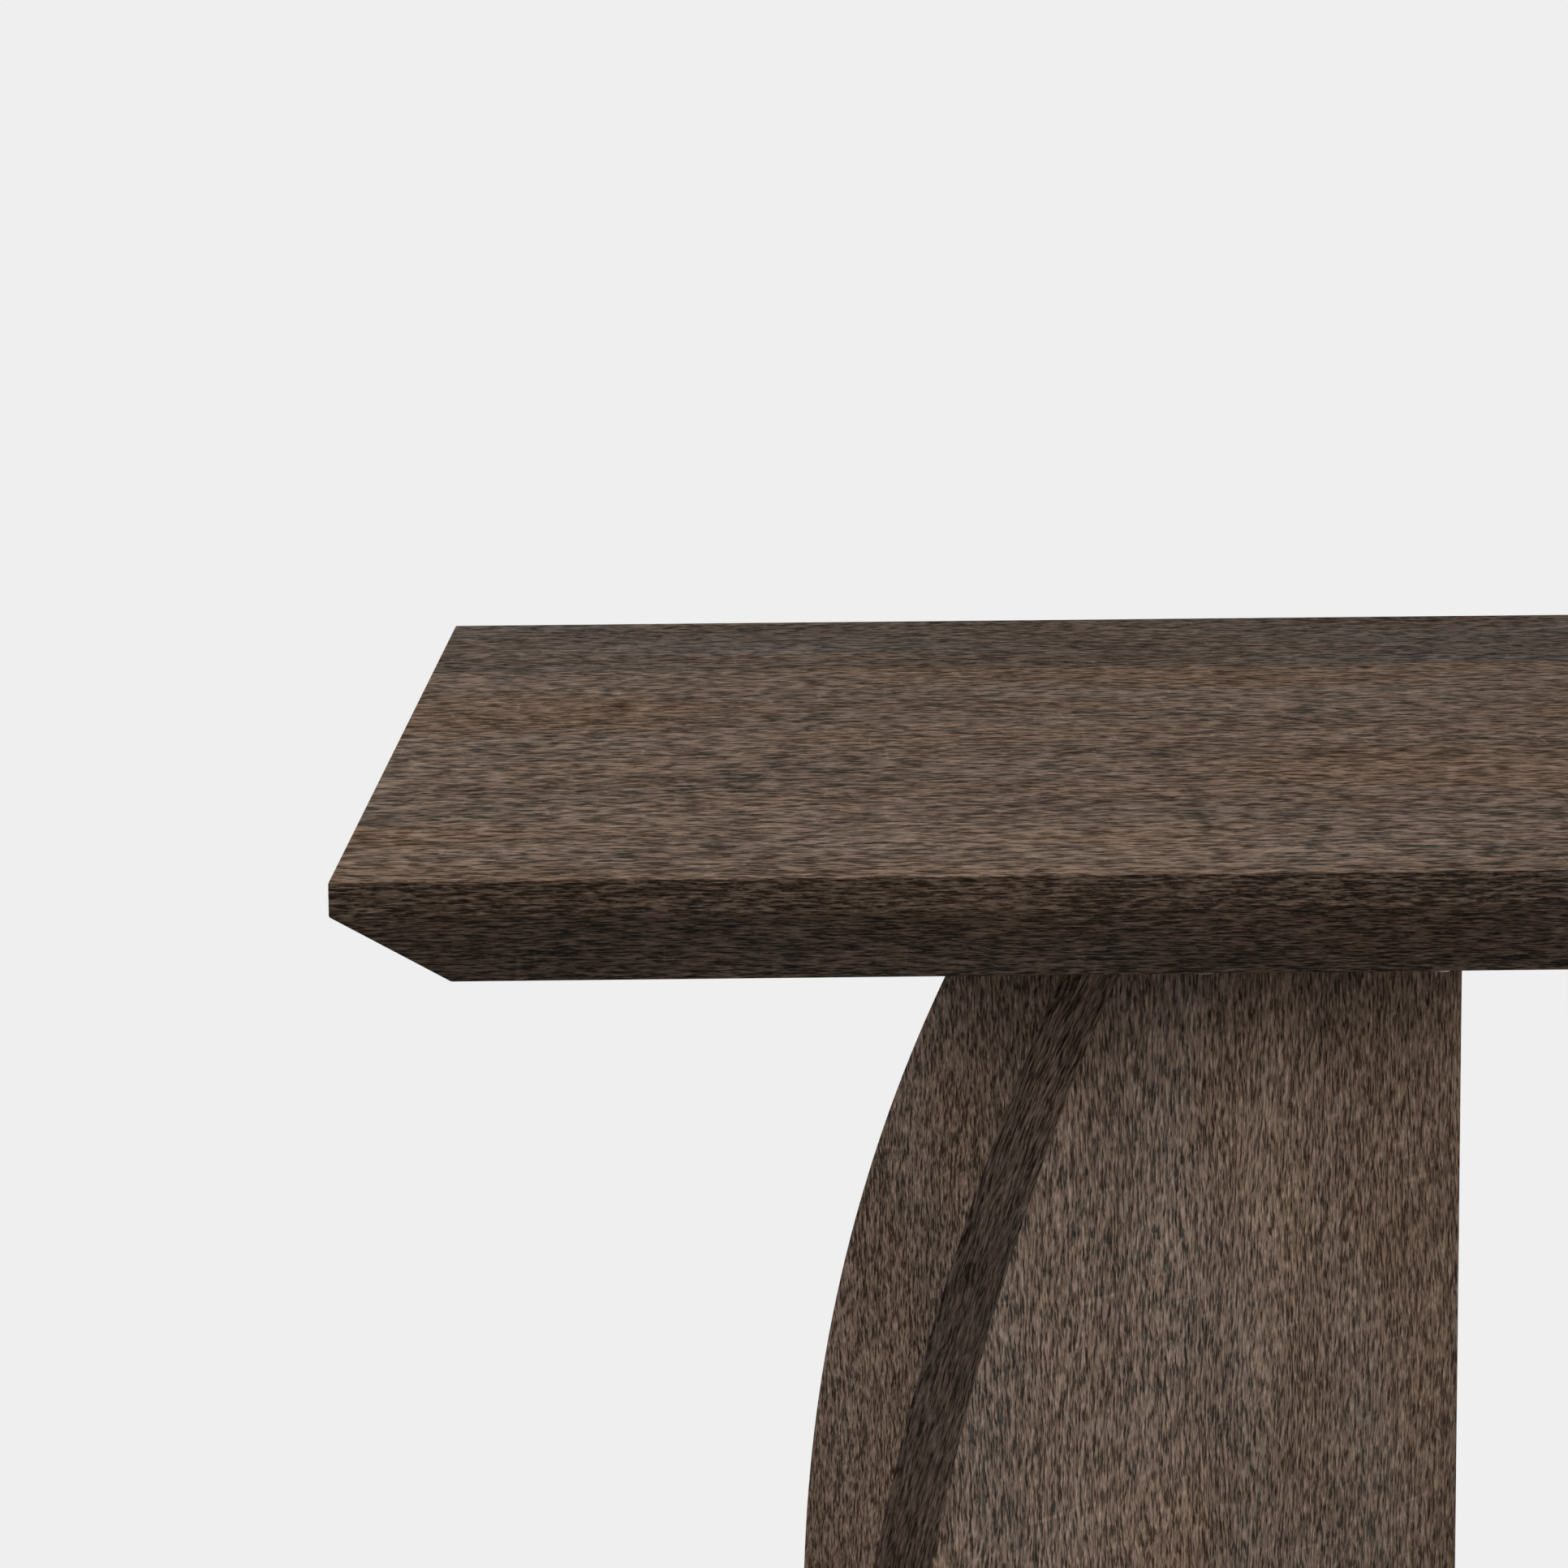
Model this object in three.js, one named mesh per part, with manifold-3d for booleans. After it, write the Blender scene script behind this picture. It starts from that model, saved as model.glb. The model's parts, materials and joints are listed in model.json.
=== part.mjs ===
// Communion table in smoked oak: a four-board top with an undercut bevel, on two V-shaped pedestals
// Millimetres, +X along the table, +Y to the back, +Z up, origin on the floor under the middle of the top

import * as THREE from 'three';
import { mergeVertices } from 'three/addons/utils/BufferGeometryUtils.js';
import Module from 'manifold-3d';

const wasm = await Module();
wasm.setup();

// Driving dimensions of the whole table
const tableLength = 1600;
const tableWidth = 800;
const tableHeight = 920;

// The top: a thin upright edge band all round, and a long bevel below it
const edgeBand = 12;
const bevelHeight = 30;
const bevelInset = 39;
const boardCount = 4;
const tongueThickness = 6;
const tongueWidth = 20;
const tongueEndStop = 30;

// The pedestals: two upright panels mitred to a V, with their free edges cut to one arc
const apexFromEnd = 450;
const armThickness = 16;
const armWidest = 258;
const armHeadReach = 152;
const arcSegments = 44;
const mitreTongueThickness = 4;
const mitreTongueWidth = 14;
const mitreTongueEndStop = 40;
const blockReach = 35;
const blockHeight = 80;
const blocksPerPedestal = 3;

// Battens under the top
const battenThickness = 22;
const middleBattenWidth = 60;
const battenEndRun = 60;
const battenEndRise = 12;
const bearerOverhang = 3;
const screwFromJoint = 20;
const screwEdgeDistance = 12;
const slotTravel = 4;

// Cleats between the pedestals and their bearers
const cleatSize = 20;
const cleatStart = 62;
const cleatFromArmEnd = 44;
const cleatScrewSpacing = 50;

// Screws
const screwRadius = 2.75;
const screwHeadRadius = 6;
const screwHeadHeight = 3.5;
const screwCrownRadius = 4.2;
const screwPointLength = 6;
const topScrewLength = 50;
const armScrewLength = 30;
const bearerScrewLength = 35;

// Levelling feet and their threaded inserts
const footHeight = 6;
const footPadRadius = 9;
const footPadChamfer = 1;
const studRadius = 3;
const studLength = 24;
const studChamfer = 0.7;
const insertRadius = 4.5;
const insertLength = 12;
const footFromArmEnd = 24;
const footFromBlockFace = 13;

// Clearances
const glueLine = 0.05;
const tongueFit = 0.15;
const turnedGap = 0.3;
const boreEndGap = 2;
const cutBeyond = 1;
const roundSegments = 16;

// Heights and plan sizes that follow from the driving dimensions
const topThickness = edgeBand + bevelHeight;
const underside = tableHeight - topThickness;
const battenTop = underside - glueLine;
const battenBottom = battenTop - battenThickness;
const armTop = battenBottom - glueLine;
const armBottom = footHeight;
const arcCentreHeight = underside / 2;
const boardWidth = tableWidth / boardCount;
const joints = Array.from({ length: boardCount - 1 }, (_, i) => i + 1);
const jointDepths = joints.map((joint) => joint * boardWidth - tableWidth / 2);
const screwRow = jointDepths[jointDepths.length - 1] + screwFromJoint;
const battenFlatHalf = screwRow + screwEdgeDistance;
const battenHalf = battenFlatHalf + battenEndRun;

// The arms stand at 45 degrees, so a thickness measured along X or Y is longer by the root of two
const root2 = Math.SQRT2;
const armAcross = armThickness * root2;

// The arc is widest midway between floor and underside, and narrows to the head reach at the arms' top
const arcRise = armWidest - armHeadReach;
const arcHalfChord = armTop - arcCentreHeight;
const arcRadius = (arcHalfChord ** 2 + arcRise ** 2) / (2 * arcRise);

// Half depth of a pedestal at a height above the floor
function halfDepth(height) {
  const drop = height - arcCentreHeight;
  return armWidest - arcRadius + Math.sqrt(arcRadius * arcRadius - drop * drop);
}

const footReach = halfDepth(armBottom);

// Finishes
const smokedOakTop = new THREE.MeshStandardMaterial({ color: 0x584b42, roughness: 0.6, metalness: 0 });
const smokedOakPanel = new THREE.MeshStandardMaterial({ color: 0x5a4c42, roughness: 0.6, metalness: 0 });
const smokedOakFrame = new THREE.MeshStandardMaterial({ color: 0x4e4238, roughness: 0.7, metalness: 0 });
const beech = new THREE.MeshStandardMaterial({ color: 0xb08a60, roughness: 0.7, metalness: 0 });
const zincSteel = new THREE.MeshStandardMaterial({ color: 0x9da1a4, roughness: 0.35, metalness: 1 });
const brass = new THREE.MeshStandardMaterial({ color: 0xb08d4a, roughness: 0.4, metalness: 1 });

// Closed solids from geometry: shared corners merged, faces pointing out
function closed(geometry) {
  const bare = geometry.clone();
  bare.deleteAttribute('normal');
  bare.deleteAttribute('uv');
  const merged = mergeVertices(bare, 1e-4);
  const position = merged.getAttribute('position');
  const corners = merged.getIndex().array;
  const triangles = [];
  let volume = 0;
  const a = new THREE.Vector3();
  const b = new THREE.Vector3();
  const c = new THREE.Vector3();
  for (let i = 0; i < corners.length; i += 3) {
    const [p, q, r] = [corners[i], corners[i + 1], corners[i + 2]];
    if (p === q || q === r || r === p) continue;
    triangles.push([p, q, r]);
    a.fromBufferAttribute(position, p);
    b.fromBufferAttribute(position, q);
    c.fromBufferAttribute(position, r);
    volume += a.dot(b.cross(c)) / 6;
  }
  const facesOut = volume > 0;
  const order = triangles.map(([p, q, r]) => (facesOut ? [p, q, r] : [p, r, q]));
  merged.setIndex(order.flat());
  return merged;
}

function toSolid(geometry) {
  const shape = closed(geometry);
  const vertProperties = Float32Array.from(shape.getAttribute('position').array);
  const triVerts = Uint32Array.from(shape.getIndex().array);
  return new wasm.Manifold(new wasm.Mesh({ numProp: 3, vertProperties, triVerts }));
}

function toGeometry(solid) {
  const mesh = solid.getMesh();
  const geometry = new THREE.BufferGeometry();
  geometry.setAttribute('position', new THREE.BufferAttribute(Float32Array.from(mesh.vertProperties), 3));
  geometry.setIndex(Array.from(mesh.triVerts));
  return geometry;
}

// One geometry with the others cut out of it
function cut(geometry, cutters) {
  let solid = toSolid(geometry);
  for (const cutter of cutters) solid = solid.subtract(toSolid(cutter));
  return toGeometry(solid);
}

function boxBetween([x0, x1], [y0, y1], [z0, z1]) {
  const box = new THREE.BoxGeometry(x1 - x0, y1 - y0, z1 - z0);
  return box.translate((x0 + x1) / 2, (y0 + y1) / 2, (z0 + z1) / 2);
}

function uprightRod(radius, x, y, z0, z1) {
  const rod = new THREE.CylinderGeometry(radius, radius, z1 - z0, roundSegments);
  return rod.rotateX(Math.PI / 2).translate(x, y, (z0 + z1) / 2);
}

// A slot for an upright screw, which lets the boards swell and shrink across the grain
function uprightSlot(radius, x, y, z0, z1) {
  const reach = [y - slotTravel / 2, y + slotTravel / 2];
  const ends = reach.map((end) => uprightRod(radius, x, end, z0, z1));
  return [...ends, boxBetween([x - radius, x + radius], reach, [z0, z1])];
}

// A turned piece: its profile of [radius, height] points starts and ends on the axis or closes on itself
function turned(profile) {
  const points = profile.map(([radius, height]) => new THREE.Vector2(radius, height));
  return closed(new THREE.LatheGeometry(points, roundSegments).rotateX(Math.PI / 2));
}

function piece(name, geometry, material) {
  const mesh = new THREE.Mesh(geometry, material);
  mesh.name = name;
  return mesh;
}

// Pan-head screw, its head's bearing face at z = 0 and its point up
function screwGeometry(length) {
  return turned([
    [0, -screwHeadHeight],
    [screwCrownRadius, -screwHeadHeight],
    [screwHeadRadius, -screwHeadHeight / 2],
    [screwHeadRadius, 0],
    [screwRadius, 0],
    [screwRadius, length - screwPointLength],
    [0, length],
  ]);
}

function screw(name, length) {
  return piece(name, screwGeometry(length), zincSteel);
}

const screwBore = screwRadius + turnedGap;

// The whole top as one blank, from which the boards are cut: thin band above, bevel below, hipped corners
function topBlank() {
  const ring = (inset, z) => {
    const x = tableLength / 2 - inset;
    const y = tableWidth / 2 - inset;
    return [[-x, -y, z], [x, -y, z], [x, y, z], [-x, y, z]];
  };
  const rings = [ring(bevelInset, underside), ring(0, underside + bevelHeight), ring(0, tableHeight)];
  const index = [0, 2, 1, 0, 3, 2];
  for (let level = 0; level < rings.length - 1; level += 1) {
    for (let side = 0; side < 4; side += 1) {
      const low = level * 4 + side;
      const lowNext = level * 4 + ((side + 1) % 4);
      index.push(low, lowNext, lowNext + 4, low, lowNext + 4, low + 4);
    }
  }
  const last = (rings.length - 1) * 4;
  index.push(last, last + 1, last + 2, last, last + 2, last + 3);
  const geometry = new THREE.BufferGeometry();
  geometry.setAttribute('position', new THREE.Float32BufferAttribute(rings.flat(2), 3));
  geometry.setIndex(index);
  return geometry;
}

// Plan positions of the screws that hold the top: two columns in each bearer, one in the middle batten
const bearerWidth = armAcross + armHeadReach + 2 * bearerOverhang;
const bearerCentre = -(armAcross + armHeadReach) / 2;
const apexX = tableLength / 2 - apexFromEnd;
const bearerScrewColumns = [bearerCentre + bearerWidth / 4, bearerCentre - bearerWidth / 4];
const topScrewSpots = [];
for (const side of [-1, 1]) {
  for (const column of bearerScrewColumns) {
    for (const row of [-screwRow, screwRow]) topScrewSpots.push([side * (apexX - column), row]);
  }
}
for (const row of [-screwRow, screwRow]) topScrewSpots.push([0, row]);

const topScrewTip = battenBottom + topScrewLength;
const tongueMiddle = underside + topThickness / 2;
const tongueHalfLength = tableLength / 2 - bevelInset - tongueEndStop;

function grooveAt(y) {
  const halfWidth = tongueWidth / 2 + tongueFit;
  const halfThickness = tongueThickness / 2 + tongueFit;
  const halfLength = tongueHalfLength + tongueFit;
  return boxBetween(
    [-halfLength, halfLength],
    [y - halfWidth, y + halfWidth],
    [tongueMiddle - halfThickness, tongueMiddle + halfThickness],
  );
}

function tableTop() {
  const group = new THREE.Group();
  const blank = toSolid(topBlank());
  const grooves = jointDepths.map(grooveAt);
  const boreEnd = topScrewTip + turnedGap;
  const boreStart = underside - cutBeyond;
  const bores = topScrewSpots.map(([x, y]) => uprightRod(screwBore, x, y, boreStart, boreEnd));
  for (let i = 0; i < boardCount; i += 1) {
    const front = i * boardWidth - tableWidth / 2 + (i > 0 ? glueLine / 2 : -cutBeyond);
    const back = (i + 1) * boardWidth - tableWidth / 2 + (i < boardCount - 1 ? -glueLine / 2 : cutBeyond);
    const strip = boxBetween([-tableLength, tableLength], [front, back], [0, 2 * tableHeight]);
    const board = toGeometry(blank.intersect(toSolid(strip)));
    group.add(piece(`top_board_${i + 1}`, cut(board, [...grooves, ...bores]), smokedOakTop));
  }
  jointDepths.forEach((y, i) => {
    const tongue = new THREE.BoxGeometry(2 * tongueHalfLength, tongueWidth, tongueThickness);
    const mesh = piece(`top_tongue_${i + 1}`, tongue, beech);
    mesh.position.set(0, y, tongueMiddle);
    group.add(mesh);
  });
  return group;
}

// A batten across the boards, its ends tapered on the underside, in the frame of its own middle
function battenBlank(width) {
  const side = new THREE.Shape();
  side.moveTo(-battenHalf, battenTop);
  side.lineTo(-battenHalf, battenBottom + battenEndRise);
  side.lineTo(-battenFlatHalf, battenBottom);
  side.lineTo(battenFlatHalf, battenBottom);
  side.lineTo(battenHalf, battenBottom + battenEndRise);
  side.lineTo(battenHalf, battenTop);
  const solid = new THREE.ExtrudeGeometry(side, { depth: width, bevelEnabled: false });
  return solid.translate(0, 0, -width / 2).rotateX(Math.PI / 2).rotateZ(Math.PI / 2);
}

function topScrew(name, x, y) {
  const mesh = screw(name, topScrewLength);
  mesh.position.set(x, y, battenBottom - glueLine);
  return mesh;
}

function slotsAt(columns) {
  const low = battenBottom - cutBeyond;
  const high = battenTop + cutBeyond;
  const spots = columns.flatMap((x) => [-screwRow, screwRow].map((y) => [x, y]));
  return spots.flatMap(([x, y]) => uprightSlot(screwBore, x, y, low, high));
}

function middleBatten() {
  const group = new THREE.Group();
  group.add(piece('middle_batten', cut(battenBlank(middleBattenWidth), slotsAt([0])), smokedOakFrame));
  group.add(topScrew('middle_batten_screw_front', 0, -screwRow));
  group.add(topScrew('middle_batten_screw_back', 0, screwRow));
  return group;
}

// A pedestal is made with its apex arris on the Z axis and its V opening towards -X.
// Along an arm, a point lies `along` from the inner corner and `inward` from the arm's inner face.
// The side is -1 for the arm at -Y and 1 for the arm at +Y.
function besideArm(side, along, inward) {
  const x = -armAcross - (along + inward) / root2;
  const y = (side * (along - inward)) / root2;
  return [x, y];
}

// An arm's middle plane, at a half depth from the mitre
function insideArm(side, depth) {
  return [-depth - armAcross / 2, side * depth];
}

const cleatLength = armHeadReach * root2 - cleatStart - cleatFromArmEnd;
const cleatMiddle = cleatStart + cleatLength / 2;
const cleatTop = battenBottom - glueLine;
const cleatHeight = cleatTop - cleatSize / 2;
const armScrewAlong = cleatMiddle - cleatScrewSpacing / 2;
const bearerScrewAlong = cleatMiddle + cleatScrewSpacing / 2;
const cleatInward = turnedGap + cleatSize / 2;
const armScrewEnd = cleatSize - armScrewLength - turnedGap;

// A rod square to an arm's inner face, from inside the V into the arm
function levelRod(side, radius, along, z, from, to) {
  const rod = new THREE.CylinderGeometry(radius, radius, from - to, roundSegments);
  const [x, y] = besideArm(side, along, (from + to) / 2);
  return rod.rotateZ(Math.PI / 2 + (side * Math.PI) / 4).translate(x, y, z);
}

// The bore for an insert, and above it the room for the foot's stud
function footBore(x, y) {
  const insertTop = armBottom + insertLength + turnedGap;
  const studTop = armBottom + studLength + boreEndGap;
  return [
    uprightRod(insertRadius + turnedGap, x, y, armBottom - cutBeyond, insertTop),
    uprightRod(studRadius + 2 * turnedGap, x, y, armBottom - cutBeyond, studTop),
  ];
}

const mitreTongueX = -(armAcross + mitreTongueWidth / 2 + tongueFit) / 2;
const mitreTongueRange = [armBottom + mitreTongueEndStop, armTop - mitreTongueEndStop];

function mitreGroove() {
  const halfThickness = mitreTongueThickness / 2 + tongueFit;
  const halfWidth = mitreTongueWidth / 2 + tongueFit;
  return boxBetween(
    [mitreTongueX - halfThickness, mitreTongueX + halfThickness],
    [-halfWidth, halfWidth],
    [mitreTongueRange[0] - tongueFit, mitreTongueRange[1] + tongueFit],
  );
}

const armFootDepth = footReach - footFromArmEnd;

// One arm: the side elevation with its arc, drawn out along X and sheared to 45 degrees in plan
function armGeometry(side) {
  const low = Math.asin((armBottom - arcCentreHeight) / arcRadius);
  const high = Math.asin((armTop - arcCentreHeight) / arcRadius);
  const elevation = new THREE.Shape();
  elevation.moveTo(glueLine / 2, armBottom);
  elevation.lineTo(footReach, armBottom);
  elevation.absarc(armWidest - arcRadius, arcCentreHeight, arcRadius, low, high, false);
  elevation.lineTo(glueLine / 2, armTop);
  const panel = new THREE.ExtrudeGeometry(elevation, {
    depth: armAcross,
    bevelEnabled: false,
    curveSegments: arcSegments,
  });
  const toPlan = new THREE.Matrix4().set(-1, 0, -1, 0, side, 0, 0, 0, 0, 1, 0, 0, 0, 0, 0, 1);
  panel.applyMatrix4(toPlan);
  const screwHole = levelRod(side, screwBore, armScrewAlong, cleatHeight, cutBeyond, armScrewEnd);
  return cut(panel, [mitreGroove(), screwHole, ...footBore(...insideArm(side, armFootDepth))]);
}

// A triangular block glued into the corner of the V
function blockGeometry(z0, z1) {
  const corner = -armAcross - turnedGap * root2;
  const face = -armAcross - blockReach;
  const plan = new THREE.Shape();
  plan.moveTo(corner, 0);
  plan.lineTo(face, corner - face);
  plan.lineTo(face, face - corner);
  const block = new THREE.ExtrudeGeometry(plan, { depth: z1 - z0, bevelEnabled: false });
  return closed(block.translate(0, 0, z0));
}

const blockFootX = -armAcross - blockReach + footFromBlockFace;

function cleatGeometry(side) {
  const cleatBottom = cleatTop - cleatSize;
  const cleat = new THREE.BoxGeometry(cleatLength, cleatSize, cleatSize);
  const [x, y] = besideArm(side, cleatMiddle, cleatInward);
  cleat.rotateZ((-side * Math.PI) / 4).translate(x, y, cleatHeight);
  const [upX, upY] = besideArm(side, bearerScrewAlong, cleatInward);
  return cut(cleat, [
    uprightRod(screwBore, upX, upY, cleatBottom - cutBeyond, cleatTop + cutBeyond),
    levelRod(side, screwBore, armScrewAlong, cleatHeight, turnedGap + cleatSize + cutBeyond, -cutBeyond),
  ]);
}

function bearerGeometry() {
  const bearer = battenBlank(bearerWidth).translate(bearerCentre, 0, 0);
  const holeEnd = cleatTop - cleatSize + bearerScrewLength + turnedGap;
  const cleatHoles = [-1, 1].map((side) => {
    const [x, y] = besideArm(side, bearerScrewAlong, cleatInward);
    return uprightRod(screwBore, x, y, battenBottom - cutBeyond, holeEnd);
  });
  return cut(bearer, [...slotsAt(bearerScrewColumns), ...cleatHoles]);
}

function footGeometry() {
  const padTop = footHeight - turnedGap;
  const studTop = padTop + studLength;
  return turned([
    [0, 0],
    [footPadRadius - footPadChamfer, 0],
    [footPadRadius, footPadChamfer],
    [footPadRadius, padTop],
    [studRadius, padTop],
    [studRadius, studTop - studChamfer],
    [studRadius - studChamfer, studTop],
    [0, studTop],
  ]);
}

function insertGeometry() {
  const inner = studRadius + turnedGap;
  return turned([
    [inner, armBottom],
    [insertRadius, armBottom],
    [insertRadius, armBottom + insertLength],
    [inner, armBottom + insertLength],
    [inner, armBottom],
  ]);
}

// Everything that belongs to one pedestal; arms[-1] and arms[1] name the arms at -Y and +Y
function pedestal(end, arms) {
  const group = new THREE.Group();
  group.add(piece(`${end}_bearer`, bearerGeometry(), smokedOakFrame));
  bearerScrewColumns.forEach((column, i) => {
    const place = ['inner', 'outer'][i];
    for (const side of [-1, 1]) {
      group.add(topScrew(`${end}_bearer_screw_${arms[side]}_${place}`, column, side * screwRow));
    }
  });

  const tongueHeight = mitreTongueRange[1] - mitreTongueRange[0];
  const tongue = new THREE.BoxGeometry(mitreTongueThickness, mitreTongueWidth, tongueHeight);
  const mitreTongue = piece(`${end}_mitre_tongue`, tongue, beech);
  mitreTongue.position.set(mitreTongueX, 0, (mitreTongueRange[0] + mitreTongueRange[1]) / 2);
  group.add(mitreTongue);

  const blockRise = (armTop - armBottom - blockHeight) / (blocksPerPedestal - 1);
  for (let i = 0; i < blocksPerPedestal; i += 1) {
    const z0 = armBottom + i * blockRise;
    const block = blockGeometry(z0, z0 + blockHeight);
    const bored = i === 0 ? cut(block, footBore(blockFootX, 0)) : block;
    group.add(piece(`${end}_corner_block_${i + 1}`, bored, smokedOakFrame));
  }

  const feet = [['apex', blockFootX, 0]];
  for (const side of [-1, 1]) {
    group.add(piece(`${end}_${arms[side]}_arm`, armGeometry(side), smokedOakPanel));
    group.add(piece(`${end}_${arms[side]}_cleat`, cleatGeometry(side), smokedOakFrame));

    const armScrew = screw(`${end}_${arms[side]}_cleat_screw_arm`, armScrewLength);
    const [levelX, levelY] = besideArm(side, armScrewAlong, turnedGap + cleatSize + glueLine);
    armScrew.position.set(levelX, levelY, cleatHeight);
    armScrew.quaternion.setFromUnitVectors(
      new THREE.Vector3(0, 0, 1),
      new THREE.Vector3(1 / root2, side / root2, 0),
    );
    group.add(armScrew);

    const bearerScrew = screw(`${end}_${arms[side]}_cleat_screw_bearer`, bearerScrewLength);
    const [upX, upY] = besideArm(side, bearerScrewAlong, cleatInward);
    bearerScrew.position.set(upX, upY, cleatTop - cleatSize - glueLine);
    group.add(bearerScrew);

    feet.push([arms[side], ...insideArm(side, armFootDepth)]);
  }

  for (const [place, x, y] of feet) {
    const insert = piece(`${end}_${place}_foot_insert`, insertGeometry(), brass);
    const foot = piece(`${end}_${place}_foot`, footGeometry(), zincSteel);
    insert.position.set(x, y, 0);
    foot.position.set(x, y, 0);
    group.add(insert, foot);
  }
  return group;
}

const table = new THREE.Group();
table.add(tableTop());
table.add(middleBatten());

const left = pedestal('left', { [-1]: 'front', 1: 'back' });
left.position.x = -apexX;
table.add(left);

// The right pedestal is the same one turned half round
const right = pedestal('right', { [-1]: 'back', 1: 'front' });
right.rotation.z = Math.PI;
right.position.x = apexX;
table.add(right);

export default table;
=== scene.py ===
# %% [markdown]
# This script dresses a communion table of smoked oak and sets it in a plain pale studio.
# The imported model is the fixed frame: every board, screw and foot is already there at its real size,
# in metres, with +X along the table, +Y to the back and the origin on the floor under the middle.
# What is left to do here is the looks: the wood's grain, the eased edges, the metal, light and camera.

# %% Load the frame
import json
import math

import bmesh
import bpy
from mathutils import Matrix, Vector

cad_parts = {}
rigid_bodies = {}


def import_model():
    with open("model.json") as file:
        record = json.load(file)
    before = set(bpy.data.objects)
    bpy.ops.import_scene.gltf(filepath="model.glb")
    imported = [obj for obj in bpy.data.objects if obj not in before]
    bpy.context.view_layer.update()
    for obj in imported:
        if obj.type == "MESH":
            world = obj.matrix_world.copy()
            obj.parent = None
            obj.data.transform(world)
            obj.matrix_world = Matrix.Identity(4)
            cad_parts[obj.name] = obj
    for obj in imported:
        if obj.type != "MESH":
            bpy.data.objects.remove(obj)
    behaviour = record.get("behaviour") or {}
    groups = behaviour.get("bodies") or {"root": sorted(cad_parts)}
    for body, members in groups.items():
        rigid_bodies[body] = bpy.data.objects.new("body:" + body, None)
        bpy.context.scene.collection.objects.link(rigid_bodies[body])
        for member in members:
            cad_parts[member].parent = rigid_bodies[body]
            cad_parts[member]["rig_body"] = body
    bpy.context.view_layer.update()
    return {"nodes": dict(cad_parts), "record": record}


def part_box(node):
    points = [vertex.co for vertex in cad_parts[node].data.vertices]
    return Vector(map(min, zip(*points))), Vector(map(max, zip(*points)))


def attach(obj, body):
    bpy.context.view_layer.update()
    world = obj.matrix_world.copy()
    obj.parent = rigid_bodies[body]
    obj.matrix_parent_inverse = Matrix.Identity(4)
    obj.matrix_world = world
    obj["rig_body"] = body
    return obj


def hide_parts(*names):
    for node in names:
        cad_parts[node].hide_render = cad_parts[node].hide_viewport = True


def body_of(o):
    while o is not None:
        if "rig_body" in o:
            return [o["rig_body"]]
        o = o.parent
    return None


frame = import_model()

scene = bpy.context.scene
nodes = frame["nodes"]

# %% [markdown]
# The camera stands a little above the table top, in front of its left half, and looks almost level
# with a long lens. It is turned by three angles, as a tripod head is: it pans a touch to the right,
# tilts down, and rolls by half a degree. One matrix for each turn, multiplied in that order, is
# easier to follow than a track-to constraint, and it holds the roll as well.

# %% Camera
CAMERA_PLACE = Vector((-0.6626, -2.0311, 1.1870))
CAMERA_PAN = math.radians(-0.657)
CAMERA_TILT = math.radians(-8.181)
CAMERA_ROLL = math.radians(-0.500)
CAMERA_LENS = 110.96
CAMERA_SENSOR = 36.0


def make_camera():
    data = bpy.data.cameras.new("camera")
    data.lens = CAMERA_LENS
    data.sensor_width = CAMERA_SENSOR
    camera = bpy.data.objects.new("camera", data)
    scene.collection.objects.link(camera)
    level = Matrix.Rotation(math.pi / 2 + CAMERA_TILT, 4, "X")
    turn = Matrix.Rotation(CAMERA_PAN, 4, "Z") @ level @ Matrix.Rotation(CAMERA_ROLL, 4, "Z")
    camera.matrix_world = Matrix.Translation(CAMERA_PLACE) @ turn
    return camera


scene.camera = make_camera()
print("camera at", tuple(CAMERA_PLACE), "with a lens of", CAMERA_LENS, "mm")

# %% [markdown]
# Shaders are written as sums in this file. A wire is the output of a shader node, and Python's
# operators on wires add the Math nodes that do the sum, so that a mask reads like a formula. Any
# other node comes from the one method `node`, which sets the node's own settings first and then
# gives its sockets their values or links.

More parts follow.
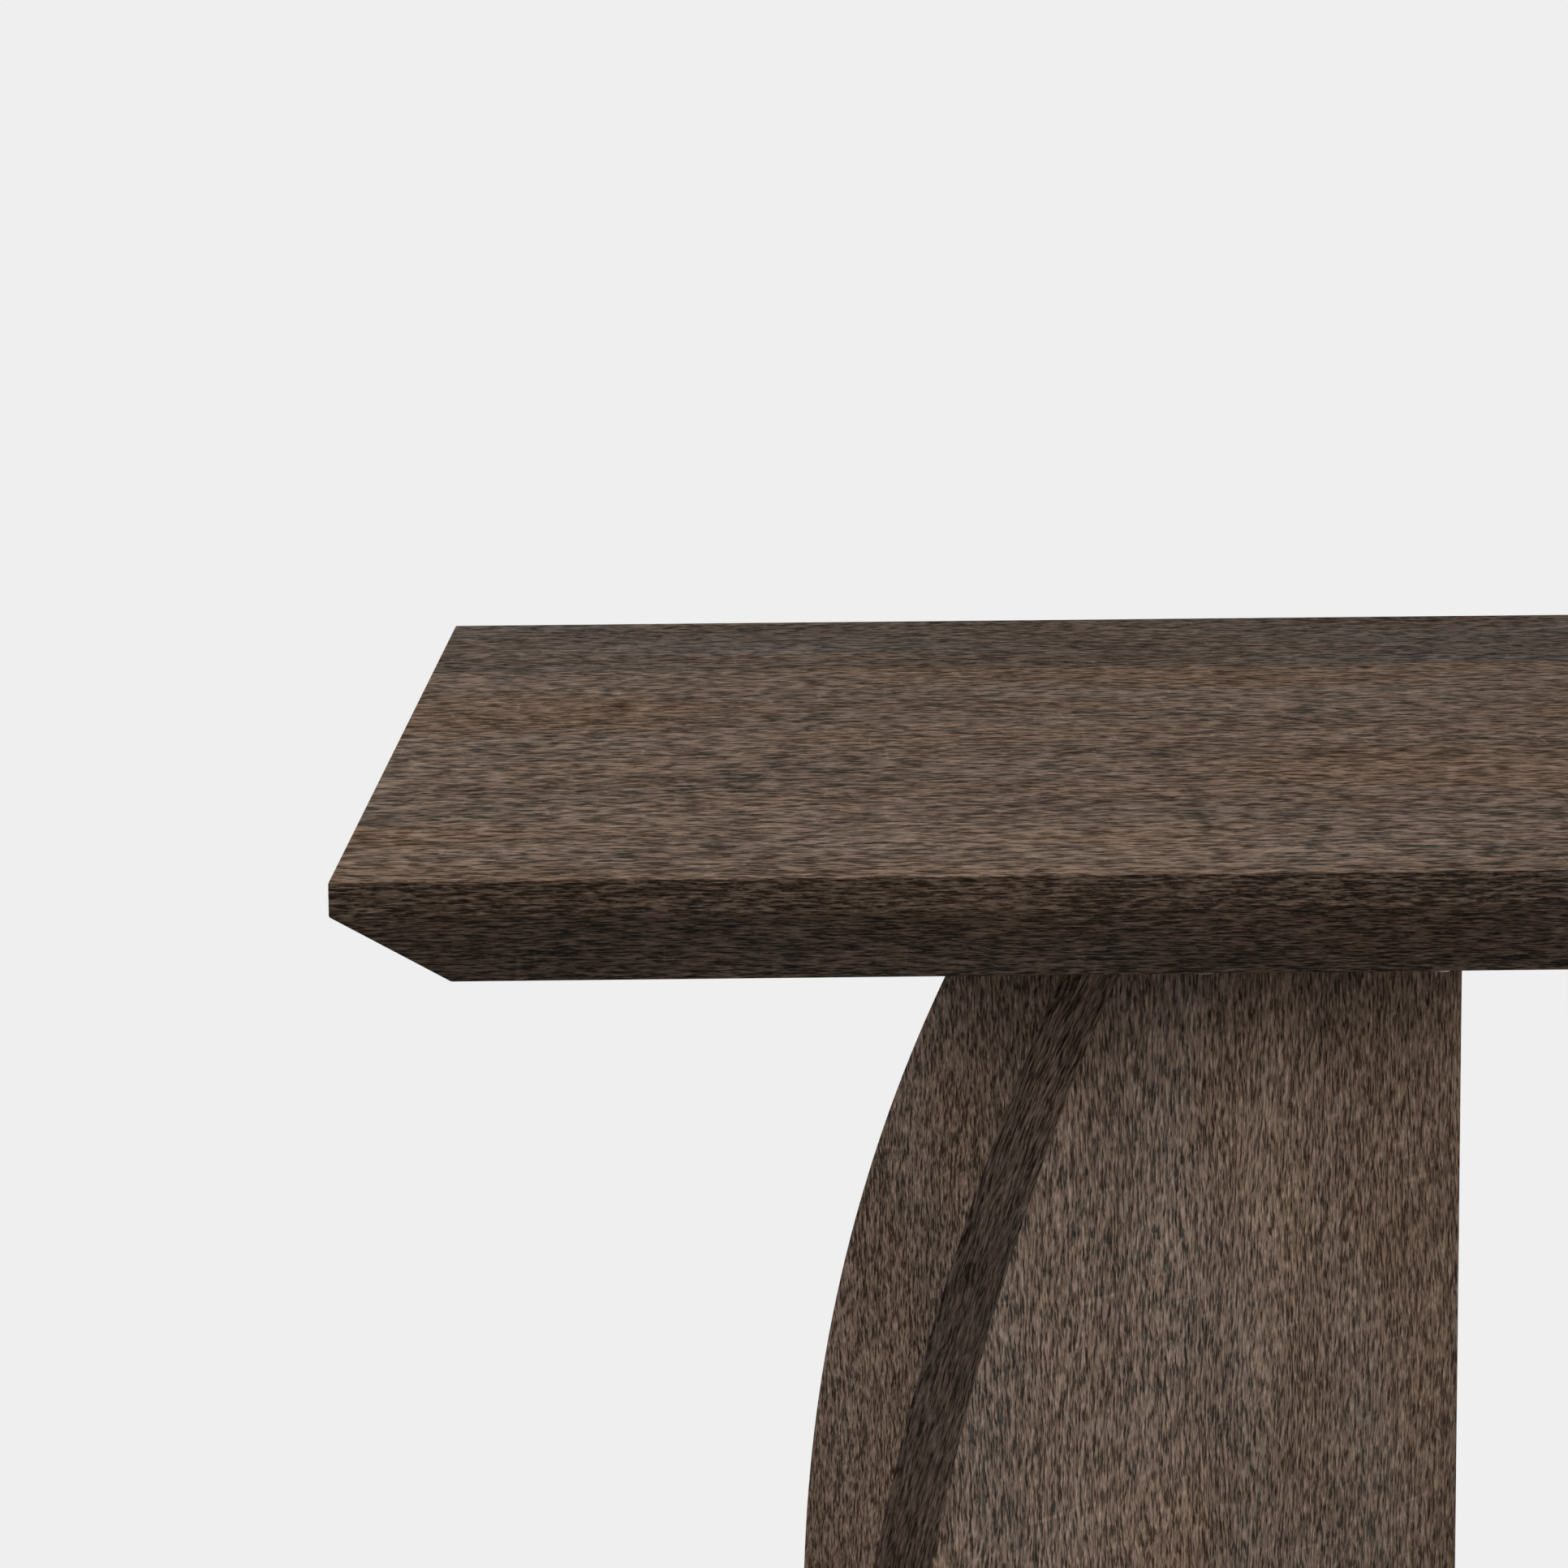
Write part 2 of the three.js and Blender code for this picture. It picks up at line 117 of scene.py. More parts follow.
# %% Shader sums
class Wire:
    """The output of a shader node, which Python can calculate with."""

    def __init__(self, tree, socket=None):
        self.tree = tree
        self.socket = socket

    def node(self, kind, settings=None, values=None, out=0):
        made = self.tree.nodes.new("ShaderNode" + kind)
        for name, value in (settings or {}).items():
            if name == "stops":
                set_stops(made.color_ramp, value)
            else:
                setattr(made, name, value)
        for key, value in (values or {}).items():
            socket = made.inputs[key]
            if isinstance(value, Wire):
                self.tree.links.new(value.socket, socket)
            else:
                socket.default_value = value
        return Wire(self.tree, made.outputs[out])

    def math(self, operation, *values):
        return self.node("Math", {"operation": operation}, dict(enumerate(values)))

    def __add__(self, other):
        return self.math("ADD", self, other)

    __radd__ = __add__

    def __sub__(self, other):
        return self.math("SUBTRACT", self, other)

    def __rsub__(self, other):
        return self.math("SUBTRACT", other, self)

    def __mul__(self, other):
        return self.math("MULTIPLY", self, other)

    __rmul__ = __mul__

    def __truediv__(self, other):
        return self.math("DIVIDE", self, other)

    def __rtruediv__(self, other):
        return self.math("DIVIDE", other, self)

    def parts(self):
        """The three numbers of a vector, each as a wire."""
        split = self.node("SeparateXYZ", values={0: self})
        outputs = split.socket.node.outputs
        return [Wire(self.tree, output) for output in outputs]

    def between(self, low, high):
        """A smooth mask: 0 at low and below, 1 at high and above. Low may be the larger one."""
        settings = {"interpolation_type": "SMOOTHSTEP"}
        if low < high:
            return self.node("MapRange", settings, {0: self, 1: low, 2: high})
        return self.node("MapRange", settings, {0: self, 1: high, 2: low, 3: 1.0, 4: 0.0})

    def vector(self, x, y, z):
        return self.node("CombineXYZ", values={0: x, 1: y, 2: z})

    def noise(self, x, y, z, size, detail=0.0):
        """Soft noise about 0, from about -0.5 to 0.5. Size is how long, wide and deep its lumps are."""
        place = self.vector(x / size[0], y / size[1], z / size[2])
        values = {"Vector": place, "Scale": 1.0, "Detail": detail}
        return self.node("TexNoise", values=values) - 0.5

    def blend(self, factor, first, second, how="MIX"):
        """Two colours mixed."""
        settings = {"data_type": "RGBA", "blend_type": how}
        return self.node("Mix", settings, {0: factor, 6: first, 7: second}, 2)


def set_stops(ramp, stops):
    while len(ramp.elements) > 1:
        ramp.elements.remove(ramp.elements[-1])
    for index, (place, colour) in enumerate(stops):
        element = ramp.elements[0] if index == 0 else ramp.elements.new(place)
        element.position = place
        element.color = (*colour, 1.0)


def make_material(name):
    """A material with its Principled shader, and a bare wire to start its sums from."""
    material = bpy.data.materials.new(name)
    material.use_nodes = True
    shader = material.node_tree.nodes["Principled BSDF"]
    return material, shader, Wire(material.node_tree)


def feed(start, shader, name, wire):
    start.tree.links.new(wire.socket, shader.inputs[name])


print("shader sums ready")

# %% [markdown]
# Wood isn't a picture glued on a box: its fibres run through the board, so every face of it shows
# the same pores from another side. Each face here carries its own grain coordinates, in
# millimetres: how far along the fibres a corner lies, how far across them, and how deep. On a plain
# board these are the corner's own coordinates, turned to the board, plus an offset, because each
# board is cut from another place in the log. A second set of values is a tint, by which one piece
# or face is paler, darker or cooler than the next; on some faces it is painted light and shade. The
# shader reads both as attributes.

# %% Grain coordinates
MILLIMETRES = 1000.0
ALONG_X, ALONG_Y, ALONG_Z = (1, 0, 0), (0, 1, 0), (0, 0, 1)
NO_TINT = (1.0, 1.0, 1.0)


def lay_grain(node, along, across, offset, tint=NO_TINT):
    """Gives the node's corners their grain coordinates, for fibres along one direction, and a tint."""
    mesh = node.data
    fibre = Vector(along).normalized()
    width = Vector(across).normalized()
    depth = fibre.cross(width)
    grain = mesh.attributes.new("grain", "FLOAT_VECTOR", "CORNER")
    for loop, value in zip(mesh.loops, grain.data):
        corner = mesh.vertices[loop.vertex_index].co * MILLIMETRES
        value.vector = Vector((corner.dot(fibre), corner.dot(width), corner.dot(depth))) + offset
    tints = mesh.attributes.new("tint", "FLOAT_VECTOR", "CORNER")
    for value in tints.data:
        value.vector = tint


print("grain coordinates ready, in steps of", 1 / MILLIMETRES, "m")

# %% [markdown]
# The top is four boards, glued edge to edge. The three front ones come from one wide plank, so that
# only the joint in front of the back board shows, as a darker and cooler tone. Shade is painted on
# the top as well: it darkens a little from front to back, and the upright band round it is darker
# than its face. A tint on the corners of the mesh does all of this without another material.

# %% Top boards
FRONT_PLANK = Vector((0.0, 0.0, 0.0))
BACK_PLANK = Vector((730.0, 410.0, 90.0))
BACK_TINT = (0.76, 0.83, 0.90)
# Painted shade: the upright band is drawn darker than the face.
BAND_PAINTED_SHADE = 0.85

# Painted shade: the brightness at the middle of the table's depth, and how much it falls for each metre
# behind it.
MIDDLE_TINT, PAINTED_SHADE_PER_METRE = 0.975, 0.18

# A face is on the upright band where its normal's Z is below this.
UPRIGHT_BELOW = 0.1


def paint_shade_on_board(node):
    """Paints shade into the board's tint: it fades towards the back, and the board's share of the
    upright band is darker.
    """
    mesh = node.data
    tints = mesh.attributes["tint"].data
    for polygon in mesh.polygons:
        # Painted shade: darker on the upright band, and fading towards the back.
        share = BAND_PAINTED_SHADE if abs(polygon.normal.z) < UPRIGHT_BELOW else 1.0
        for index in polygon.loop_indices:
            depth = mesh.vertices[mesh.loops[index].vertex_index].co.y
            tints[index].vector = tints[index].vector * share * (MIDDLE_TINT - PAINTED_SHADE_PER_METRE * depth)


top_boards = [nodes[f"top_board_{number}"] for number in (1, 2, 3, 4)]
for board in top_boards[:-1]:
    lay_grain(board, ALONG_X, ALONG_Y, FRONT_PLANK)
lay_grain(top_boards[-1], ALONG_X, ALONG_Y, BACK_PLANK, BACK_TINT)
for board in top_boards:
    paint_shade_on_board(board)
print("grain laid on the top's", len(top_boards), "boards")

# %% [markdown]
# A pedestal is two panels that stand as a V in plan, with their grain upright. Both faces lean a
# little to the cool side, and the inner faces are painted darker than the outer ones, as shade in
# the V. The curved sawn edge is lipped with a strip whose grain runs up the curve, so there the grain
# coordinates are the height and the distance across the strip. The lipping is painted darker than
# the panel, as shade, and paler towards its upper end, as painted light.

# %% Pedestal panels
PANEL_SHIFT = Vector((1170.0, 350.0, 520.0))
LIPPING_SHIFT = Vector((2500.0, 900.0, 260.0))
# Both faces lean a little cool. The outer faces are painted a little lighter and the inner ones darker,
# as light and shade.
OUTER_TONE_AND_LIGHT = Vector((1.01, 1.03, 1.05))
INNER_TONE_AND_SHADE = Vector((0.95, 0.98, 1.02))
LIPPING_TINT = Vector((0.94, 1.0, 1.08))
# The lipping's painted shade low down and painted light at its head, and the height over which that
# light fades in.
LIPPING_PAINTED_SHADE, LIPPING_PAINTED_LIGHT = 0.63, 1.14
PAINTED_LIGHT_FROM, PAINTED_LIGHT_FADE = 0.735, 0.06
LIPPING_FINENESS = 1.5

# A face is square to the front where its normal's X is below this, and level where its Z is above.
SQUARE_BELOW, LEVEL_FROM = 0.05, 0.8
MITRE_REACH = 0.05


def is_lipping(polygon):
    """True on the curved edge, which looks squarely to the front or the back. The panel's level ends
    and its mitre, close to the middle of the table's depth, don't belong to it."""
    normal = polygon.normal
    curved = abs(normal.x) < SQUARE_BELOW and abs(normal.z) < LEVEL_FROM
    return curved and abs(polygon.center.y) > MITRE_REACH


def lipping_shade_and_light(height):
    """The lipping's painted brightness against the panel at a height in metres: painted shade low down,
    and painted light towards its upper end.
    """
    towards_head = min(1.0, max(0.0, (height - PAINTED_LIGHT_FROM) / PAINTED_LIGHT_FADE))
    return LIPPING_PAINTED_SHADE + (LIPPING_PAINTED_LIGHT - LIPPING_PAINTED_SHADE) * towards_head


def dress_panel(node, lean, offset):
    """Sets what differs from face to face of a panel: its tint, which paints the inner faces darker and
    the outer ones lighter as shade and light, and the lipping's own grain with its painted shade and
    light. Lean is the way that the panel runs along X as it leaves the corner of its V: -1 on the left
    pedestal, 1 on the right."""
    mesh = node.data
    grain, tints = mesh.attributes["grain"].data, mesh.attributes["tint"].data
    found = 0
    for polygon in mesh.polygons:
        lipping = is_lipping(polygon)
        found += lipping
        for index in polygon.loop_indices:
            corner = mesh.vertices[mesh.loops[index].vertex_index].co
            if lipping:
                beside = LIPPING_FINENESS * (corner.x - lean * abs(corner.y)) * MILLIMETRES
                grain[index].vector = Vector((corner.z * MILLIMETRES, beside, 0.0)) + offset
                # Painted shade on the lipping low down, and painted light towards its head.
                tints[index].vector = LIPPING_TINT * lipping_shade_and_light(corner.z)
            else:
                # Painted shade: the inner faces of the V are darker than the outer ones.
                tints[index].vector = INNER_TONE_AND_SHADE if lean * polygon.normal.x > 0 else OUTER_TONE_AND_LIGHT
    return found


panels = [
    ("left_front_arm", (-1, -1, 0), -1),
    ("left_back_arm", (-1, 1, 0), -1),
    ("right_front_arm", (1, -1, 0), 1),
    ("right_back_arm", (1, 1, 0), 1),
]
for count, (name, away, lean) in enumerate(panels, start=1):
    lay_grain(nodes[name], ALONG_Z, away, PANEL_SHIFT * count)
    edge_faces = dress_panel(nodes[name], lean, LIPPING_SHIFT * count)
    print(name, "has", edge_faces, "faces on its lippings")

# %% [markdown]
# The frame that nobody sees is plainer wood. The bearers and the batten have their fibres across
# the table, the corner blocks upright, the tongues along the table and the cleats along their
# panel. Each piece is cut from another place in the log, so no two show the same pores.

# %% Frame wood
FRAME_SHIFT = Vector((310.0, 1270.0, 640.0))
FRAME_FIBRES = {
    "bearer": (ALONG_Y, ALONG_X),
    "batten": (ALONG_Y, ALONG_X),
    "corner_block": (ALONG_Z, ALONG_X),
    "tongue": (ALONG_X, ALONG_Y),
}
slots = {part["node"]: part["material_slot"] for part in frame["record"]["subparts"]}
wooden = [name for name, slot in slots.items() if slot in ("smoked_oak_frame", "beech")]
for count, name in enumerate(wooden, start=1):
    along, across = ALONG_X, ALONG_Y
    for word, directions in FRAME_FIBRES.items():
        if word in name:
            along, across = directions
    if "cleat" in name:
        outward = -1 if name.startswith("left") else 1
        forward = -1 if "front" in name else 1
        along, across = (outward, forward, 0), ALONG_Z
    lay_grain(nodes[name], along, across, FRAME_SHIFT * count)
print("grain laid on", len(top_boards) + len(panels) + len(wooden), "pieces of wood")

# %% [markdown]
# A joiner takes the sharpness off every outer edge with sandpaper, about half a millimetre, and a
# picture without those thin facets looks cut from card. Not every edge gets it: edges in a glued
# joint get none, or the boards would show grooves between them, and hollow edges or the short ones
# round a bore stay as they are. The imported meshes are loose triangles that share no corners, so an
# edge is known here by where its ends lie in space.

# %% Outer edges
SHORTEST_EASED = 0.006
SAME = 0.0001
PLACE_DIGITS = 5


def ends_of(mesh, pair):
    """The places of an edge's two ends, the same for every edge that lies there."""
    return frozenset(tuple(round(c, PLACE_DIGITS) for c in mesh.vertices[i].co) for i in pair)


def edge_table(mesh):
    """For each edge in space, the direction and the middle of each face that meets there."""
    table = {}
    for polygon in mesh.polygons:
        for pair in polygon.edge_keys:
            faces = table.setdefault(ends_of(mesh, pair), [])
            faces.append((polygon.normal.copy(), polygon.center.copy()))
    return table


def is_outer_arris(ends, faces, glued_depths):
    """True for a long outer corner that isn't part of a glued joint."""
    first, second = (Vector(end) for end in ends)
    if (first - second).length < SHORTEST_EASED:
        return False
    if any(abs(first.y - y) < SAME and abs(second.y - y) < SAME for y in glued_depths):
        return False
    (normal, middle), (_, other_middle) = faces
    return normal.dot(other_middle - middle) < 0


print("the top's front board has", len(edge_table(top_boards[0].data)), "edges before easing")

# %% [markdown]
# The easing is left to modifiers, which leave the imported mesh's corners where they are. The first
# welds the loose triangles together, the second merges those that lie flat to each other, and the
# third cuts a bevel on the edges that carry a weight. The other sharp edges are marked, and all the
# rest is shaded smooth, so the arcs look round.

# %% Eased edges
EASE = 0.0005
EASE_SEGMENTS = 2
WELD_DISTANCE = 0.00001
FLAT_WITHIN = math.radians(0.2)
SHARP_FROM = math.radians(20)


def ease_edges(node, glued_depths=()):
    """Marks the node's sharp edges, adds the modifiers that round its outer ones and counts these."""
    mesh = node.data
    for name in ("custom_normal", "sharp_edge", "sharp_face"):
        if name in mesh.attributes:
            mesh.attributes.remove(mesh.attributes[name])
    mesh.polygons.foreach_set("use_smooth", [True] * len(mesh.polygons))
    table = edge_table(mesh)
    mesh.attributes.new("sharp_edge", "BOOLEAN", "EDGE")
    mesh.attributes.new("bevel_weight_edge", "FLOAT", "EDGE")
    sharp = mesh.attributes["sharp_edge"]
    weight = mesh.attributes["bevel_weight_edge"]
    eased = 0
    for edge in mesh.edges:
        ends = ends_of(mesh, edge.vertices)
        faces = table.get(ends, [])
        if len(faces) != 2 or faces[0][0].angle(faces[1][0], 0.0) < SHARP_FROM:
            continue
        if is_outer_arris(ends, faces, glued_depths):
            weight.data[edge.index].value = 1.0
            eased += 1
        else:
            sharp.data[edge.index].value = True
    weld = node.modifiers.new("weld", "WELD")
    weld.merge_threshold = WELD_DISTANCE
    flats = node.modifiers.new("flats", "DECIMATE")
    flats.decimate_type = "DISSOLVE"
    flats.angle_limit = FLAT_WITHIN
    bevel = node.modifiers.new("eased edges", "BEVEL")
    bevel.width = EASE
    bevel.segments = EASE_SEGMENTS
    bevel.limit_method = "WEIGHT"
    bevel.harden_normals = True
    return eased


# Where glued joints lie along Y: behind each of the three front boards, and in the corner of a V.
BOARD_JOINTS = [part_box(f"top_board_{number}")[1].y for number in (1, 2, 3)]
CORNER_JOINT = [0.0]
eased = 0
for name, slot in slots.items():
    if slot == "smoked_oak_top":
        eased += ease_edges(nodes[name], BOARD_JOINTS)
    elif slot == "smoked_oak_panel":
        eased += ease_edges(nodes[name], CORNER_JOINT)
    elif slot in ("smoked_oak_frame", "beech"):
        eased += ease_edges(nodes[name])
bpy.context.view_layer.update()
seen = nodes["left_front_arm"].evaluated_get(bpy.context.evaluated_depsgraph_get()).data
print("eased", eased, "edges, and the left front arm has", len(seen.polygons), "faces now")

# %% [markdown]
# Smoked oak is brown-grey all through, from the near black of an open pore to a pale fibre. The
# tones are written as on a paint chart and made linear, because a shader reckons in light. Wood and
# pores also lean a little to the warm or the cool side from place to place.

# %% Oak tones
def tone_of(red, green, blue):
    """A colour as a paint chart gives it, from 0 to 255, made linear by the sRGB curve."""
    return tuple(((c / 255 + 0.055) / 1.055) ** 2.4 if c > 10 else c / 3295 for c in (red, green, blue))


OAK_TONES = (
    (0.00, tone_of(32, 24, 19)),
    (0.25, tone_of(60, 48, 39)),
    (0.50, tone_of(92, 77, 66)),
    (0.75, tone_of(121, 103, 90)),
    (1.00, tone_of(150, 130, 115)),
)
COOL_PORE = (0.78, 1.04, 1.22, 1.0)
WARM_PORE = (1.06, 0.99, 0.94, 1.0)
WARM_WOOD = (1.05, 1.0, 0.95, 1.0)
COOL_WOOD = (0.98, 1.0, 1.03, 1.0)
print("oak tones from", OAK_TONES[0][1], "to", OAK_TONES[-1][1])

# %% [markdown]
# The surface shows open pores, short dark dashes a few millimetres long and about one wide, with
# equally fine pale fibres between them. The pores crowd together in flecks and rows, which is what
# the eye still sees when the board lies almost edge-on. So one stretched noise draws the fine
# dashes, a larger one draws the flecks, and their sum is cut at a level: where a fleck is, more of
# the dashes pass it. Another noise, stretched across the grain, leaves a few pale rays. All of it
# lies on coordinates that sway a little, because fibres are never quite straight, and a ramp turns
# the result into the wood's own browns. The finish is dead matt, so the shader's gloss is off.

# %% Smoked oak
# How long, wide and deep each kind of mark in the wood is, in millimetres.
SWAY, WANDER, RIPPLE = (110, 40, 40), (14, 6, 6), (2.4, 1.6, 1.6)
DASH, FIBRE = (6.0, 1.25, 0.7), (3.6, 0.8, 0.45)
CLOUD, HUE, RAY = (160, 60, 60), (190, 80, 80), (3, 32, 32)

# How far from the cloud the hue reads its noise, so that the two patterns don't agree.
HUE_SHIFT = 1330

# How far the fibres are pushed aside, in millimetres.
SWAY_BY, WANDER_BY, RIPPLE_BY = 9.0, 1.6, 0.7

# Between which levels of its noise each kind of mark appears.
PORE_LEVELS, HOLLOW_LEVELS, PALE_LEVELS = (0.07, 0.13), (-0.05, 0.15), (-0.05, -0.16)
RAY_LEVELS, HUE_LEVELS = (0.26, 0.34), (-0.2, 0.2)

# How much each kind of mark lifts or lowers the shade, which runs from 0 to 1.
MIDDLE_SHADE = 0.565
PALE_LIFT, PORE_DROP, CLOUD_LIFT, RAY_LIFT = 0.14, 0.28, 0.30, 0.10

# How much rougher a pore is, how deep it is in metres, and how high a fibre stands against that.
PORE_ROUGHNESS = 0.2
PORE_DEPTH = 0.0007
FIBRE_SHARE = 0.5


def oak(name, brightness=1.0, depth=1.1, fleck=(12.0, 2.0, 2.6), gather=0.6, roughness=0.62):
    """Depth is how strongly pores and fibres show, fleck how long, wide and deep a crowd of pores is
    in millimetres, and gather how much they keep to it."""
    material, shader, start = make_material(name)
    along, across, through = start.node("Attribute", {"attribute_name": "grain"}, out="Vector").parts()
    sway = start.noise(along, across, through, SWAY)
    wander = start.noise(along, across, through, WANDER)
    ripple = start.noise(along, across, through, RIPPLE)
    across = across + SWAY_BY * sway + WANDER_BY * wander + RIPPLE_BY * ripple

    dash = start.noise(along, across, through, DASH, detail=1.5)
    crowd = start.noise(along, across, through, fleck, detail=1.0)
    fibre = start.noise(along, across, through, FIBRE, detail=2.0)
    openness = dash + gather * crowd
    pore = openness.between(*PORE_LEVELS)
    pale = openness.between(*PALE_LEVELS)
    hollow = openness.between(*HOLLOW_LEVELS)
    cloud = start.noise(along, across, through, CLOUD, detail=2.0)
    ray = start.noise(along, across, through, RAY).between(*RAY_LEVELS)
    marks = depth * (fibre + PALE_LIFT * pale - PORE_DROP * pore)
    shade = MIDDLE_SHADE + marks + CLOUD_LIFT * cloud + RAY_LIFT * ray
    wood = start.node("ValToRGB", {"stops": OAK_TONES}, {0: shade}, "Color")

    hue = start.noise(along + HUE_SHIFT, across, through, HUE, detail=1.0).between(*HUE_LEVELS)
    ground = start.blend(hue, COOL_WOOD, WARM_WOOD)
    inside = start.blend(hue, COOL_PORE, WARM_PORE)
    wood = start.blend(1.0, wood, start.blend(pore, ground, inside), "MULTIPLY")
    # The tint: each piece's own tone, and the painted shade and light laid on the top, the panels and
    # the lippings.
    tint = start.node("Attribute", {"attribute_name": "tint"}, out="Color")
    wood = start.blend(1.0, wood, tint, "MULTIPLY")
    level = (brightness, brightness, brightness, 1.0)
    feed(start, shader, "Base Color", start.blend(1.0, wood, level, "MULTIPLY"))

    feed(start, shader, "Roughness", roughness + PORE_ROUGHNESS * pore)
    relief = {"Strength": 1.0, "Distance": PORE_DEPTH, "Height": FIBRE_SHARE * fibre - hollow}
    feed(start, shader, "Normal", start.node("Bump", values=relief, out="Normal"))
    shader.inputs["Specular IOR Level"].default_value = 0.0
    return material


finishes = {
    "smoked_oak_top": oak("smoked_oak_top", depth=1.15, fleck=(11.0, 5.0, 0.9), gather=0.9),
    "smoked_oak_panel": oak("smoked_oak_panel"),
    "smoked_oak_frame": oak("smoked_oak_frame", brightness=0.7, roughness=0.75),
    "beech": oak("beech", brightness=3.0, depth=0.4, roughness=0.75),
}
for name, slot in slots.items():
    if slot in finishes:
        nodes[name].data.materials[0] = finishes[slot]
print("finishes on the wood:", sorted(finishes))

# %% [markdown]
# The hidden hardware is zinc-plated steel and brass. Plating is a satin metal whose colour drifts a
# little between blue and straw, with finer stains in its roughness. Brass browns where it isn't
# handled. Both are soft noise over the piece's own coordinates, in millimetres, so a screw turned
# another way carries its stains with it.

# %% Metal finishes
SPECK_SIZE = 0.5
STAIN_LEVELS = (-0.2, 0.25)
STAIN_ROUGHNESS, SPECK_ROUGHNESS = 0.25, 0.15
SPECK_STRENGTH, SPECK_RELIEF = 0.4, 0.00002


def metal(name, clean, stained, stain_size, roughness):
    """A metal between two colours, with stains of a size in millimetres and finer specks."""
    material, shader, start = make_material(name)
    place = [axis * MILLIMETRES for axis in start.node("TexCoord", out="Object").parts()]
    stain = start.noise(*place, [stain_size] * 3, detail=2.0)
    speck = start.noise(*place, [SPECK_SIZE] * 3, detail=1.0)
    colour = start.blend(stain.between(*STAIN_LEVELS), (*clean, 1.0), (*stained, 1.0))
    feed(start, shader, "Base Color", colour)
    feed(start, shader, "Roughness", roughness + STAIN_ROUGHNESS * stain + SPECK_ROUGHNESS * speck)
    relief = {"Strength": SPECK_STRENGTH, "Distance": SPECK_RELIEF, "Height": speck}
    feed(start, shader, "Normal", start.node("Bump", values=relief, out="Normal"))
    shader.inputs["Metallic"].default_value = 1.0
    return material


BLUE_ZINC, STRAW_ZINC = (0.60, 0.62, 0.66), (0.56, 0.54, 0.47)
CLEAN_BRASS, BROWN_BRASS = (0.62, 0.44, 0.19), (0.36, 0.23, 0.10)
zinc = metal("zinc_steel", BLUE_ZINC, STRAW_ZINC, stain_size=3.0, roughness=0.36)
brass = metal("brass", CLEAN_BRASS, BROWN_BRASS, stain_size=5.0, roughness=0.40)
print("metal finishes:", zinc.name, "and", brass.name)

# %% [markdown]
# A screw thread is a ridge that climbs around a rod. It could be a profile swept along a helix, but
# it is easier to see as a landscape: at each height and angle the surface stands a little further
# out or in, and the pattern turns with the height. So each turned piece is a stack of rings, and a
# thread is only a rule for how far each point of a ring stands from the axis.

# %% Turned pieces
TIP_SHARE = 0.05
TURNED_SHARP_FROM = math.radians(35)


def ring(height, radius, sides):
    """Points around the axis. Radius is a number, or a rule that gives one for each angle's share."""
    shares = [index / sides for index in range(sides)]
    reach = [radius(share) if callable(radius) else radius for share in shares]
    turns = [2 * math.pi * share for share in shares]
    return [(r * math.cos(turn), r * math.sin(turn), height) for r, turn in zip(reach, turns)]


def thread_rings(core, crest, pitch, low, high, sides, per_turn=5, point=0.0):
    """A thread from one height to another, which fades in and out over a turn at its ends. With a
    point, its radii shrink over that last stretch."""
    count = round((high - low) / pitch * per_turn)
    rings = []
    for step in range(count + 1):
        height = low + (high - low) * step / count
        fade = min(1.0, step / per_turn, (count - step) / per_turn)
        slim = min(1.0, (high - height) / point + TIP_SHARE) if point else 1.0

        def reach(share, height=height, fade=fade, slim=slim):
            phase = (height / pitch - share) % 1.0
            return slim * (core + (crest - core) * fade * abs(2 * phase - 1))

        rings.append(ring(height, reach, sides))
    return rings


def skin(name, rings, tube=False):
    """A closed mesh through a stack of rings in millimetres, with flat ends or joined as a tube."""
    sides = len(rings[0])
    points = [Vector(point) / MILLIMETRES for circle in rings for point in circle]
    levels = len(rings)
    faces = []
    for level in range(levels if tube else levels - 1):
        above = (level + 1) % levels
        for side in range(sides):
            beside = (side + 1) % sides
            corners = (level * sides + side, level * sides + beside, above * sides + beside)
            faces.append((*corners, above * sides + side))
    if not tube:
        faces.append(tuple(reversed(range(sides))))
        faces.append(tuple(range((levels - 1) * sides, levels * sides)))
    mesh = bpy.data.meshes.new(name)
    mesh.from_pydata(points, [], faces)
    mesh.polygons.foreach_set("use_smooth", [True] * len(mesh.polygons))
    mesh.set_sharp_from_angle(angle=TURNED_SHARP_FROM)
    return mesh


print("turned pieces ready")

# %% [markdown]
# A detailed piece stands exactly where its plain CAD node is and rides on the same body, so it
# moves with its joint. All feet share one mesh, as all inserts do and all screws of one length:
# only the place and the way they point differ.

# %% Detailed pieces in their places
def middle_of(node):
    """The middle of a node's box in plan, and its lowest height."""
    low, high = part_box(node)
    return Vector(((low.x + high.x) / 2, (low.y + high.y) / 2, low.z))


def set_piece(node, mesh, material, place, direction=(0, 0, 1)):
    """Puts a mesh where a CAD node is, in its stead, riding on the same body."""
    piece = bpy.data.objects.new(node + "_detailed", mesh)
    scene.collection.objects.link(piece)
    turn = Vector(direction).to_track_quat("Z", "Y").to_matrix().to_4x4()
    piece.matrix_world = Matrix.Translation(place) @ turn
    if not mesh.materials:
        mesh.materials.append(material)
    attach(piece, body_of(nodes[node])[0])
    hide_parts(node)


print("the first foot stands at", tuple(middle_of("left_apex_foot")))

# %% [markdown]
# A levelling foot is a disc on an M6 stud. Its rim is fluted, so that fingers can turn it, its edge
# is rounded where it slides on a floor, and the stud carries the thread that shows when the foot is
# let out. The profile is written from the sole up, as pairs of a height and a radius, and the
# flutes are a wave in the radius of two of its rings. The foot's own radius and height come from
# the CAD foot.

# %% Levelling feet
FOOT_SIDES = 48
FLUTES = 12
FLUTE_DEPTH = 0.45
DISC_HEIGHT = 5.7
DISH_DEPTH = 0.9
COLLAR_RADIUS = 4.6
STUD_CREST, STUD_CORE, STUD_PITCH = 3.0, 2.45, 1.0
STUD_START, STUD_END, STUD_CHAMFER = 0.3, 0.5, 0.4


